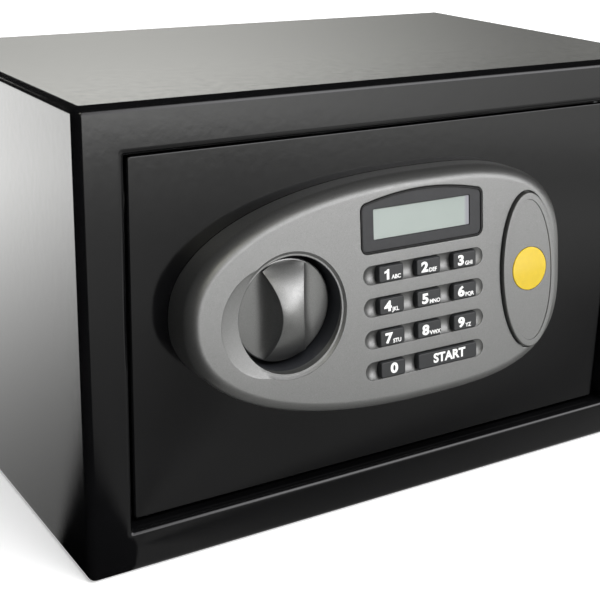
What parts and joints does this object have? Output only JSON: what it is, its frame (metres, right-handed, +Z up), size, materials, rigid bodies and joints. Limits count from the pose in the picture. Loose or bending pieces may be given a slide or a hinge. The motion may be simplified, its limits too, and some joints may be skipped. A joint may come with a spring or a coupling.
{
  "type": "in-room safe",
  "caption": "Steel in-room safe with a hinged front door, tilted keypad panel with display, recessed turn knob that drives sliding bolts, and an override key lock under a pull-off cover.",
  "frame": {"origin": "middle of the base of the whole object's box, at the height of the surface that the safe stands on", "axes": "+Z up, +X to the right as a person facing the door sees it, +Y from the door towards the back"},
  "size_m": [0.31, 0.2006, 0.2],
  "materials": {
    "black_paint": "semi-gloss black powder coat with a fine orange-peel texture",
    "bright_steel": "turned bright steel",
    "zinc_steel": "zinc-plated pressed steel",
    "dark_plastic": "black moulded plastic",
    "key_plastic": "charcoal satin plastic keys with white numbers",
    "grey_plastic": "dark grey satin plastic",
    "felt": "dark felt",
    "lcd_glass": "pale grey-green display",
    "board": "green solder mask",
    "copper_wire": "enamelled copper winding",
    "yellow_badge": "glossy yellow enamel",
    "cell_jacket": "printed cell jacket with bare steel ends",
    "red_rubber": "red soft button",
    "brass": "machined brass",
    "silver_lacquer": "satin silver-grey metallic lacquer on moulded plastic"
  },
  "bodies": {
    "root": {"body_shell": "black_paint", "back_panel": "black_paint", "floor_mat": "felt", "hinge_bracket_upper": "zinc_steel", "hinge_bracket_lower": "zinc_steel"},
    "door": {"door_panel": "black_paint", "hinge_knuckle_upper": "black_paint", "hinge_knuckle_lower": "black_paint", "hinge_pin_upper": "bright_steel", "hinge_pin_lower": "bright_steel", "keypad_bezel": "silver_lacquer", "lcd_gasket": "dark_plastic", "lcd_window": "grey_plastic", "lcd_display": "lcd_glass", "keypad_mat": "dark_plastic", "control_board": "board", "override_lock_body": "bright_steel", "override_lock_nut": "zinc_steel", "bolt_guide_upper": "zinc_steel", "bolt_guide_lower": "zinc_steel", "solenoid_frame": "zinc_steel", "solenoid_coil": "copper_wire", "plunger_spring": "bright_steel", "battery_tray": "dark_plastic", "battery_1": "cell_jacket", "battery_2": "cell_jacket", "battery_3": "cell_jacket", "battery_4": "cell_jacket", "battery_lead": "dark_plastic", "inner_cover": "grey_plastic", "inner_cover_screw_1": "zinc_steel", "inner_cover_screw_2": "zinc_steel", "inner_cover_screw_3": "zinc_steel", "inner_cover_screw_4": "zinc_steel", "reset_switch": "dark_plastic"},
    "knob": {"knob": "silver_lacquer", "knob_spindle": "bright_steel", "lock_cam": "zinc_steel"},
    "bolt_work": {"bolt_carriage": "zinc_steel", "locking_bolt_upper": "bright_steel", "locking_bolt_lower": "bright_steel"},
    "solenoid_plunger": {"solenoid_plunger": "bright_steel"},
    "override_cover": {"override_cover": "silver_lacquer", "override_badge": "yellow_badge"},
    "override_lock": {"override_lock_plug": "brass", "override_cam": "zinc_steel"},
    "reset_button": {"reset_button": "red_rubber"},
    "battery_door": {"battery_door": "grey_plastic"},
    "key_1": {"key_1": "key_plastic"},
    "key_2": {"key_2": "key_plastic"},
    "key_3": {"key_3": "key_plastic"},
    "key_4": {"key_4": "key_plastic"},
    "key_5": {"key_5": "key_plastic"},
    "key_6": {"key_6": "key_plastic"},
    "key_7": {"key_7": "key_plastic"},
    "key_8": {"key_8": "key_plastic"},
    "key_9": {"key_9": "key_plastic"},
    "key_0": {"key_0": "key_plastic"},
    "key_start": {"key_start": "key_plastic"}
  },
  "joints": [
    {"name": "door_swing", "type": "hinge", "parent": "root", "child": "door", "pos_m": [0.119, -0.06818, 0.1], "axis": [0, 0, 1], "range_deg": [0, 100]},
    {"name": "knob_turn", "type": "hinge", "parent": "door", "child": "knob", "pos_m": [-0.067, -0.08168, 0.108], "axis": [0, -1, 0], "range_deg": [0, 90]},
    {"name": "bolt_throw", "type": "slide", "parent": "door", "child": "bolt_work", "axis": [-1, 0, 0], "range_m": [0, 0.01697]},
    {"name": "plunger_slide", "type": "slide", "parent": "door", "child": "solenoid_plunger", "axis": [-1, 0, 0], "range_m": [0, 0.004], "stiffness_N_per_m": 60, "deforming": ["plunger_spring"]},
    {"name": "override_cover_pull", "type": "slide", "parent": "door", "child": "override_cover", "axis": [0, -0.993, 0.1184], "range_m": [0, 0.012]},
    {"name": "override_lock_turn", "type": "hinge", "parent": "door", "child": "override_lock", "pos_m": [0.0602, -0.08168, 0.1085], "axis": [0, -1, 0], "range_deg": [0, 90]},
    {"name": "reset_press", "type": "slide", "parent": "door", "child": "reset_button", "axis": [0, -1, 0], "range_m": [0, 0.0014], "stiffness_N_per_m": 120},
    {"name": "battery_door_lift", "type": "slide", "parent": "door", "child": "battery_door", "axis": [0, 1, 0], "range_m": [0, 0.012]},
    {"name": "key_1_press", "type": "slide", "parent": "door", "child": "key_1", "axis": [0, 0.993, -0.1184], "range_m": [0, 0.001], "stiffness_N_per_m": 150},
    {"name": "key_2_press", "type": "slide", "parent": "door", "child": "key_2", "axis": [0, 0.993, -0.1184], "range_m": [0, 0.001], "stiffness_N_per_m": 150},
    {"name": "key_3_press", "type": "slide", "parent": "door", "child": "key_3", "axis": [0, 0.993, -0.1184], "range_m": [0, 0.001], "stiffness_N_per_m": 150},
    {"name": "key_4_press", "type": "slide", "parent": "door", "child": "key_4", "axis": [0, 0.993, -0.1184], "range_m": [0, 0.001], "stiffness_N_per_m": 150},
    {"name": "key_5_press", "type": "slide", "parent": "door", "child": "key_5", "axis": [0, 0.993, -0.1184], "range_m": [0, 0.001], "stiffness_N_per_m": 150},
    {"name": "key_6_press", "type": "slide", "parent": "door", "child": "key_6", "axis": [0, 0.993, -0.1184], "range_m": [0, 0.001], "stiffness_N_per_m": 150},
    {"name": "key_7_press", "type": "slide", "parent": "door", "child": "key_7", "axis": [0, 0.993, -0.1184], "range_m": [0, 0.001], "stiffness_N_per_m": 150},
    {"name": "key_8_press", "type": "slide", "parent": "door", "child": "key_8", "axis": [0, 0.993, -0.1184], "range_m": [0, 0.001], "stiffness_N_per_m": 150},
    {"name": "key_9_press", "type": "slide", "parent": "door", "child": "key_9", "axis": [0, 0.993, -0.1184], "range_m": [0, 0.001], "stiffness_N_per_m": 150},
    {"name": "key_0_press", "type": "slide", "parent": "door", "child": "key_0", "axis": [0, 0.993, -0.1184], "range_m": [0, 0.001], "stiffness_N_per_m": 150},
    {"name": "key_start_press", "type": "slide", "parent": "door", "child": "key_start", "axis": [0, 0.993, -0.1184], "range_m": [0, 0.001], "stiffness_N_per_m": 150}
  ],
  "couplings": [
    {"joint": "knob_turn", "follows": "bolt_throw", "rad_per_m": 92.56}
  ]
}
